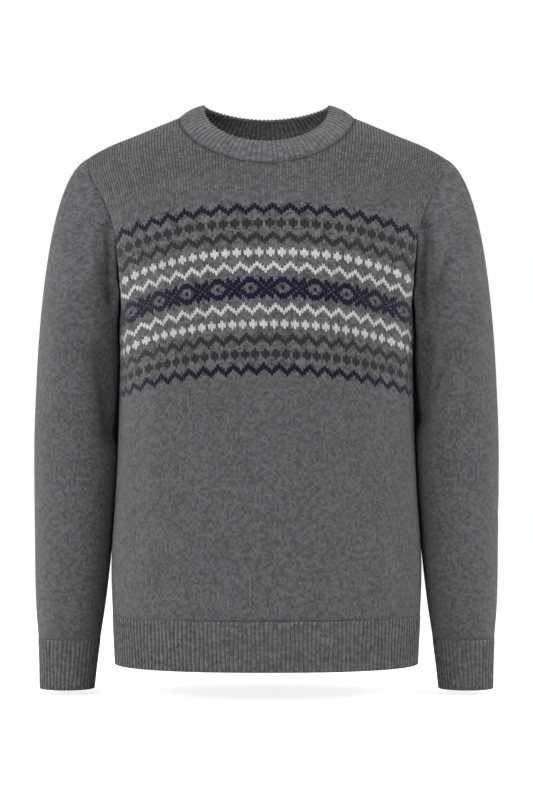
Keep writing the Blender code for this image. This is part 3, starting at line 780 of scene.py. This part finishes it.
def make_label():
    """A plain woven label that hangs from the seam, just clear of the inside of the back."""
    top = NECK_Z - NECK_DROP["back"][0] - LABEL["below_seam"]
    columns, rows = LABEL_POINTS
    over = np.linspace(-LABEL["wide"] / 2, LABEL["wide"] / 2, columns)
    x, z = np.meshgrid(over, np.linspace(top - LABEL["high"], top, rows))
    surface = np.stack([x, torso_y(x, z, "back"), z], axis=2)
    across, up = np.gradient(surface, axis=1), np.gradient(surface, axis=0)
    normals = unit(np.cross(up, across))
    points = surface - normals * np.sign(normals[..., 1:2]) * (WALL + LABEL["clear"] + LABEL["wall"])
    shape = points.shape[:2]
    wale = np.arange(columns) * 1.0 + np.zeros(shape)
    course = np.arange(rows)[:, None] + np.zeros(shape)
    far = np.full(shape, FAR)
    lattice = Lattice(points, wale, course, far, far)
    return knitted("neck_label", lattice, np.zeros(shape), LABEL["wall"], False)


def feed(tree, place, part):
    """Gives a node's input a term, another node's output, a colour or a number."""
    if isinstance(part, Term):
        tree.links.new(part.socket, place)
    elif isinstance(part, bpy.types.NodeSocket):
        tree.links.new(part, place)
    else:
        place.default_value = (*part, 1.0) if isinstance(part, tuple) else part


class Term:
    """A number that a material works out at each point, written as a sum."""

    def __init__(self, tree, socket):
        self.tree, self.socket = tree, socket

    def _by(self, operation, *others, flip=False):
        node = self.tree.nodes.new("ShaderNodeMath")
        node.operation = operation
        parts = [*others, self] if flip else [self, *others]
        for place, part in zip(node.inputs, parts):
            feed(self.tree, place, part)
        return Term(self.tree, node.outputs[0])

    def __add__(self, other):
        return self._by("ADD", other)

    def __sub__(self, other):
        return self._by("SUBTRACT", other)

    def __rsub__(self, other):
        return self._by("SUBTRACT", other, flip=True)

    def __mul__(self, other):
        return self._by("MULTIPLY", other)

    def __truediv__(self, other):
        return self._by("DIVIDE", other)

    def __pow__(self, other):
        return self._by("POWER", other)

    def __rpow__(self, other):
        return self._by("POWER", other, flip=True)

    def __abs__(self):
        return self._by("ABSOLUTE")

    def floor(self):
        return self._by("FLOOR")

    def cycle(self, length):
        return self._by("FLOORED_MODULO", length)

    def near(self, value, slack):
        return self._by("COMPARE", value, slack)

    def under(self, value):
        return self._by("LESS_THAN", value)

    def least(self, other):
        return self._by("MINIMUM", other)

    def most(self, other):
        return self._by("MAXIMUM", other)


# The fair isle band, in courses from its top. A zigzag is two courses thick and steps once a
# wale, and a dot is three wales wide.
BAND_TOP_Z = -0.1154
BAND_COURSES = 75
Motif = collections.namedtuple("Motif", "kind yarn top")
MOTIFS = (
    Motif("zigzag", "navy", 0),
    Motif("dots", "charcoal", 7),
    Motif("zigzag", "charcoal", 13),
    Motif("dots", "white", 20),
    Motif("zigzag", "white", 26),
    Motif("diamonds", "navy", 33),
    Motif("zigzag", "white", 44),
    Motif("dots", "white", 51),
    Motif("zigzag", "charcoal", 57),
    Motif("dots", "charcoal", 64),
    Motif("zigzag", "navy", 70),
)
# Half a diamond band from its middle course outwards, for the wales from the lattice's middle
# to the diamond's middle: # is navy
DIAMONDS = (
    ".##...#",
    "#.##...",
    "##.##..",
    ".##.###",
    "..#..##",
)


def motif_masks(wale, row, yarns):
    """Where these yarns of the band show, for whole numbers of wale and of course from the top."""
    climb = 3 - abs((wale + 3).cycle(6) - 3)
    across = abs(wale.cycle(4) - 2)
    masks = {}
    for motif in MOTIFS:
        if motif.yarn not in yarns:
            continue
        if motif.kind == "zigzag":
            mask = (row - climb).near(motif.top + 0.5, 0.6)
        elif motif.kind == "dots":
            mask = (abs(row - (motif.top + 1.5)) + across).under(1.6)
        else:
            fold = abs((wale + 6).cycle(12) - 6)
            away = abs(row - (motif.top + len(DIAMONDS) - 1))
            bits = None
            for step, marks in enumerate(DIAMONDS):
                number = sum(2**i for i, mark in enumerate(marks) if mark == "#")
                line = away.near(step, 0.2) * number
                bits = line if bits is None else bits + line
            mask = ((bits / 2.0**fold) + 0.001).floor().cycle(2).near(1, 0.2)
        masks[motif.yarn] = mask if motif.yarn not in masks else masks[motif.yarn].most(mask)
    return masks


def noise(tree, vector, scale, detail):
    node = tree.nodes.new("ShaderNodeTexNoise")
    tree.links.new(vector, node.inputs["Vector"])
    node.inputs["Scale"].default_value = scale
    node.inputs["Detail"].default_value = detail
    return Term(tree, node.outputs["Fac"])


def chance(tree, vector):
    """A number from 0 to 1 that has nothing to do with the one beside it."""
    node = tree.nodes.new("ShaderNodeTexWhiteNoise")
    tree.links.new(vector, node.inputs["Vector"])
    return Term(tree, node.outputs["Value"])


def vector_of(tree, x, y, z=0.0):
    node = tree.nodes.new("ShaderNodeCombineXYZ")
    for place, part in zip(node.inputs, (x, y, z)):
        feed(tree, place, part)
    return node.outputs[0]


def mixed(tree, share, first, second, blend="MIX"):
    """Two colours mixed. A colour is a socket or three numbers."""
    node = tree.nodes.new("ShaderNodeMix")
    node.data_type = "RGBA"
    node.blend_type = blend
    node.clamp_factor = True
    sockets = [node.inputs[0], node.inputs[6], node.inputs[7]]
    for place, part in zip(sockets, (share, first, second)):
        feed(tree, place, part)
    return node.outputs[2]


# Yarns in linear light: the darker and the lighter fibres of each. The marl is a little
# greener where other yarns are carried behind it.
YARN = {
    "marl": ((0.047, 0.045, 0.051), (0.225, 0.217, 0.235)),
    "band marl": ((0.046, 0.0458, 0.050), (0.223, 0.221, 0.231)),
    "navy": ((0.0020, 0.0010, 0.0120), (0.0090, 0.0058, 0.0370)),
    "charcoal": ((0.0150, 0.0152, 0.0155), (0.0450, 0.0455, 0.0460)),
    "white": ((0.480, 0.480, 0.470), (0.900, 0.900, 0.885)),
}
LEG_SLANT = 1.7  # how many courses a stitch's leg climbs for each wale
DARK_SPREAD = (0.12, 0.14)  # how far a dark stitch covers its neighbours, in wales and courses
# The linking row below the neckband, in mm, and how dark it is
LINKED = {"down": 2.9, "waver": 3.0, "wide": 2.2, "dark": 0.8}
OFF_LINE = {"wale": 0.12, "course": 0.30}  # how far the knit wanders, in wales and in courses
RIB_RIDGE = 0.62  # the share of a rib's width that its ridge takes
LEG_MIDDLE = 0.25  # where a stitch's leg runs, in wales from the wale's middle
BULGE = 0.55  # how much of a stitch's height is in the bulge of its leg
# How much each kind of unevenness shades the yarn
SHADE = {"fibres": 1.4, "flecks": 1.5, "stitch": 0.45, "clouds": 0.15, "streaks": 0.22}
BAND_STITCH = 0.3  # what the band's marl has more than other marl in shade from stitch to stitch
PAINTED_GROOVE_SHADE = {"share": 0.12, "power": 1.6}  # painted shade: how much darker the grooves between wales are made, and how wide
WIDE = {"over": 22.0, "painted_groove_shade": 0.62, "lift": 0.16}  # where the knit is pulled wide, past this many courses, with more painted groove shade and its colour made lighter by lift
KNIT_FINISH = {"Roughness": 0.92, "Specular IOR Level": 0.15, "Sheen Weight": 0.22, "Sheen Roughness": 0.45}
KNIT_BUMP = {"strength": 0.85, "distance": 0.0009}
FLECK_BUMP = 0.6
TAPE = ((0.008, 0.009, 0.024), (0.022, 0.024, 0.052))
TAPE_RIBS = 1.5  # to a point of the label's lattice
TAPE_BUMP = {"strength": 0.4, "distance": 0.0002}


def new_material(name):
    made = bpy.data.materials.new(name)
    made.use_nodes = True
    return made, made.node_tree, made.node_tree.nodes["Principled BSDF"]


def parts_of(tree, vector):
    """The first two parts of a vector."""
    split = tree.nodes.new("ShaderNodeSeparateXYZ")
    tree.links.new(vector, split.inputs[0])
    return Term(tree, split.outputs[0]), Term(tree, split.outputs[1])


def corners_of(tree, layer):
    """A mesh's set of corners, as a vector and as its two parts."""
    source = tree.nodes.new("ShaderNodeUVMap")
    source.uv_map = layer
    return source.outputs[0], *parts_of(tree, source.outputs[0])


def add_bump(tree, shader, height, strength, distance):
    bump = tree.nodes.new("ShaderNodeBump")
    bump.inputs["Strength"].default_value = strength
    bump.inputs["Distance"].default_value = distance
    tree.links.new(height.socket, bump.inputs["Height"])
    tree.links.new(bump.outputs[0], shader.inputs["Normal"])


def stitch_at(wale, course):
    """The wale and course of the stitch at a place, how far the place is from the wale's
    middle, and its course along the slanted legs."""
    column = (wale + 0.5).floor()
    off = abs(wale - column)
    slanted = course - off * LEG_SLANT
    return column, slanted.floor(), off, slanted


def knit_material(name, rib=False, band_top=None, wide_from=None, painted_light=1.0, groove=0.5):
    """Knit stitches in marl yarn, for one by one rib or for plain knit. band_top is the course at
    the top of the fair isle band, and from wide_from upwards the knit is pulled wide. Grooves
    are painted darker by the share groove and by the painted groove shade between wales, and a
    copy can be made lighter all over by a given share: painted shade and painted light."""
    made, tree, shader = new_material(name)
    flat, wale, course = corners_of(tree, "knit")
    straight = course
    wale = wale + (noise(tree, flat, 0.9, 2.0) - 0.5) * OFF_LINE["wale"]
    course = course + (noise(tree, flat, 0.6, 1.0) - 0.5) * OFF_LINE["course"]
    column, row, off, slanted = stitch_at(wale, course)
    if rib:
        off = (off / RIB_RIDGE).least(0.5)
    leg = 1 - ((off - LEG_MIDDLE) / LEG_MIDDLE) ** 2.0
    bulge = 1 - ((slanted - row) * 2 - 1) ** 2.0
    height = leg.most(0.0) ** 0.6 * (bulge.most(0.0) ** 0.5 * BULGE + (1 - BULGE))

    stitch = chance(tree, vector_of(tree, column, row))
    fibres = noise(tree, vector_of(tree, wale * 2.0, slanted * 1.1, off * 3), 1.6, 3.0)
    flecks = noise(tree, flat, 5.0, 2.0)
    clouds = noise(tree, flat, 0.05, 3.0)
    streaks = noise(tree, vector_of(tree, wale * 0.22, row * 1.3), 1.0, 2.0)
    shade = (fibres - 0.5) * SHADE["fibres"] + (flecks - 0.5) * SHADE["flecks"]
    shade = shade + (stitch - 0.5) * SHADE["stitch"] + (clouds - 0.5) * SHADE["clouds"]
    shade = shade + (streaks - 0.5) * SHADE["streaks"] + 0.5
    colour = mixed(tree, shade, *YARN["marl"])
    # Painted shade in the grooves between wales, more where the knit is pulled wide, where the whole colour
    # is also made lighter
    painted_groove_shade, lift = PAINTED_GROOVE_SHADE["share"], 1.0
    if wide_from is not None:
        wide = ((straight - wide_from) / WIDE["over"]).most(0.0).least(1.0)
        painted_groove_shade = wide * WIDE["painted_groove_shade"] + painted_groove_shade
        lift = wide * WIDE["lift"] + 1.0
    if band_top is not None:
        from_top = band_top - row
        inside = from_top.under(BAND_COURSES + 0.5) * (1 - from_top.under(-0.5))
        marl = mixed(tree, shade + (stitch - 0.5) * BAND_STITCH, *YARN["band marl"])
        colour = mixed(tree, inside, colour, marl)
        masks = motif_masks(column, from_top.floor(), ("white",))
        for wales, courses in ((-1, -1), (-1, 1), (1, -1), (1, 1)):
            near = stitch_at(wale + wales * DARK_SPREAD[0], course + courses * DARK_SPREAD[1])
            dark = motif_masks(near[0], (band_top - near[1]).floor(), ("navy", "charcoal"))
            for yarn, mask in dark.items():
                masks[yarn] = mask if yarn not in masks else masks[yarn].most(mask)
        for yarn in ("white", "charcoal", "navy"):
            colour = mixed(tree, masks[yarn], colour, mixed(tree, shade, *YARN[yarn]))
    # The colour is darkened between the stitches' legs and in the grooves between wales: painted shade
    deep = (height * groove + (1 - groove)) * (1 - (off * 2) ** PAINTED_GROOVE_SHADE["power"] * painted_groove_shade) * lift
    if wide_from is not None:
        _, below_neck, _ = corners_of(tree, "neck")
        waver = (noise(tree, flat, 0.5, 3.0) - 0.5) * LINKED["waver"]
        linking = (1 - abs(below_neck - LINKED["down"] + waver) / LINKED["wide"]).most(0.0)
        linking = linking * (stitch * 0.8 + 0.6).least(1.0)
        deep = deep * (1 - linking * LINKED["dark"])
        height = height - linking
    # Painted light: the whole colour of this copy is made lighter by a given share
    deep = deep * painted_light
    colour = mixed(tree, 1.0, colour, vector_of(tree, deep, deep, deep), "MULTIPLY")
    tree.links.new(colour, shader.inputs["Base Color"])
    for socket, value in KNIT_FINISH.items():
        shader.inputs[socket].default_value = value
    add_bump(tree, shader, height + (flecks - 0.5) * FLECK_BUMP, **KNIT_BUMP)
    return made


def label_material():
    """Plain navy tape in a fine twill."""
    made, tree, shader = new_material("label_tape")
    flat, warp, weft = corners_of(tree, "knit")
    rib = abs(((warp + weft) * TAPE_RIBS).cycle(1.0) - 0.5) * 2
    shade = rib * 0.7 + (noise(tree, flat, 3.0, 2.0) - 0.5) * 0.6
    tree.links.new(mixed(tree, shade, *TAPE), shader.inputs["Base Color"])
    shader.inputs["Roughness"].default_value = 0.6
    add_bump(tree, shader, rib, **TAPE_BUMP)
    return made


def band_top_course():
    """The course at the top of the fair isle band, on the middle wale of the front."""
    lines, _ = wale_lines("front", np.array([0.0]))
    return float(np.interp(BAND_TOP_Z, lines[:, 0, 2], lengths(lines[:, 0]))) / COURSE


def make_sweater():
    band_top = band_top_course()
    jersey = knit_material("jersey_marl")
    plain_back = knit_material("jersey_marl_wide", wide_from=band_top)
    patterned = knit_material("jersey_fair_isle", band_top=band_top, wide_from=band_top)
    # The ribs are copies of the marl made lighter, which is painted light, with fainter painted shade in
    # their grooves
    rib = knit_material("rib_marl", rib=True, painted_light=1.04, groove=0.34)
    neck_rib = knit_material("neck_rib_marl", rib=True, painted_light=1.03, groove=0.24)
    made = {}
    for side, finish, slot in (("front", patterned, "patterned"), ("back", plain_back, "jersey")):
        made[side] = make_panel(side), finish, slot
        made["hem_rib_" + side] = make_hem_rib(side), rib, "rib"
    for hand, mirror in (("left", (1, 1, 1)), ("right", (-1, 1, 1))):
        made["sleeve_" + hand] = make_sleeve("sleeve_" + hand, mirror), jersey, "jersey"
        made["cuff_" + hand] = make_cuff("cuff_" + hand, mirror), rib, "rib"
    made["neckband"] = make_neckband(), neck_rib, "neck_rib"
    made["neck_label"] = make_label(), label_material(), "label"
    for node, (piece, finish, slot) in made.items():
        piece.data.materials.append(finish)
        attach(piece, "root")
        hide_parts(node)


AMBIENT = 0.19
LIGHTS = (
    ("left", (-2.3, -1.1, 1.1), 1.8, 55.0),
    ("right", (2.3, -1.1, 1.1), 1.8, 74.0),
    ("front", (-1.5, -2.2, 0.5), 1.6, 33.0),
    ("behind left", (-2.4, 1.2, 0.8), 1.8, 27.0),
    ("behind right", (2.4, 1.2, 0.8), 1.8, 29.0),
)
WHITE = 0.991  # the photo's background, in linear light
FLOOR_AT = -0.702
FLOOR_SIZE = 40
FLOOR_NEAR = {"base": 0.60, "glow": 0.85, "from": 0.7, "to": 1.8}  # the floor is lit to this far out
AIM = (0, 0, -0.3)
# The camera: how far in front of the middle it is, its height, and the picture's height in
# pixels with how many of them a metre at the middle takes
CAMERA = {"back": 2.8, "high": -0.345, "pixels": 800, "a_metre": 820}
SENSOR = 36


def make_floor():
    """A pale floor that takes a faint shadow near the sweater and is plain white further out."""
    bpy.ops.mesh.primitive_plane_add(size=FLOOR_SIZE, location=(0, 0, FLOOR_AT))
    floor = bpy.context.object
    floor.name = "floor"
    finish, tree, shader = new_material("floor")
    x, y = parts_of(tree, tree.nodes.new("ShaderNodeTexCoord").outputs["Object"])
    out = (x * x + y * y) ** 0.5
    far = ((out - FLOOR_NEAR["from"]) / (FLOOR_NEAR["to"] - FLOOR_NEAR["from"])).most(0.0).least(1.0)
    base = (1 - far) * FLOOR_NEAR["base"]
    seen = Term(tree, tree.nodes.new("ShaderNodeLightPath").outputs["Is Camera Ray"])
    glow = (far * (WHITE - FLOOR_NEAR["glow"]) + FLOOR_NEAR["glow"]) * seen
    tree.links.new(vector_of(tree, base, base, base), shader.inputs["Base Color"])
    tree.links.new(glow.socket, shader.inputs["Emission Strength"])
    shader.inputs["Emission Color"].default_value = (1, 1, 1, 1)
    shader.inputs["Roughness"].default_value = 0.9
    shader.inputs["Specular IOR Level"].default_value = 0.0
    floor.data.materials.append(finish)


def make_stage():
    """The floor, a white world and soft light from both sides, the front and behind."""
    scene = bpy.context.scene
    make_floor()
    world = scene.world or bpy.data.worlds.new("world")
    scene.world = world
    world.use_nodes = True
    tree = world.node_tree
    background = tree.nodes["Background"]
    background.inputs["Color"].default_value = (WHITE, WHITE, WHITE, 1)
    seen = Term(tree, tree.nodes.new("ShaderNodeLightPath").outputs["Is Camera Ray"])
    tree.links.new((seen * (1 - AMBIENT) + AMBIENT).socket, background.inputs["Strength"])

    for name, place, size, power in LIGHTS:
        light = bpy.data.lights.new(name, "AREA")
        light.size = size
        light.energy = power
        lamp = bpy.data.objects.new(name, light)
        scene.collection.objects.link(lamp)
        lamp.location = place
        aim = np.array(AIM) - np.array(place)
        flat = math.hypot(aim[0], aim[1])
        lamp.rotation_euler = (math.atan2(flat, -aim[2]), 0, math.atan2(-aim[0], aim[1]))

    lens = bpy.data.cameras.new("camera")
    lens.lens = SENSOR * CAMERA["a_metre"] * CAMERA["back"] / CAMERA["pixels"]
    lens.sensor_width = SENSOR
    camera = bpy.data.objects.new("camera", lens)
    scene.collection.objects.link(camera)
    camera.location = (0, -CAMERA["back"], CAMERA["high"])
    camera.rotation_euler = (math.pi / 2, 0, 0)
    scene.camera = camera
    scene.view_settings.view_transform = "Standard"


make_sweater()
make_stage()
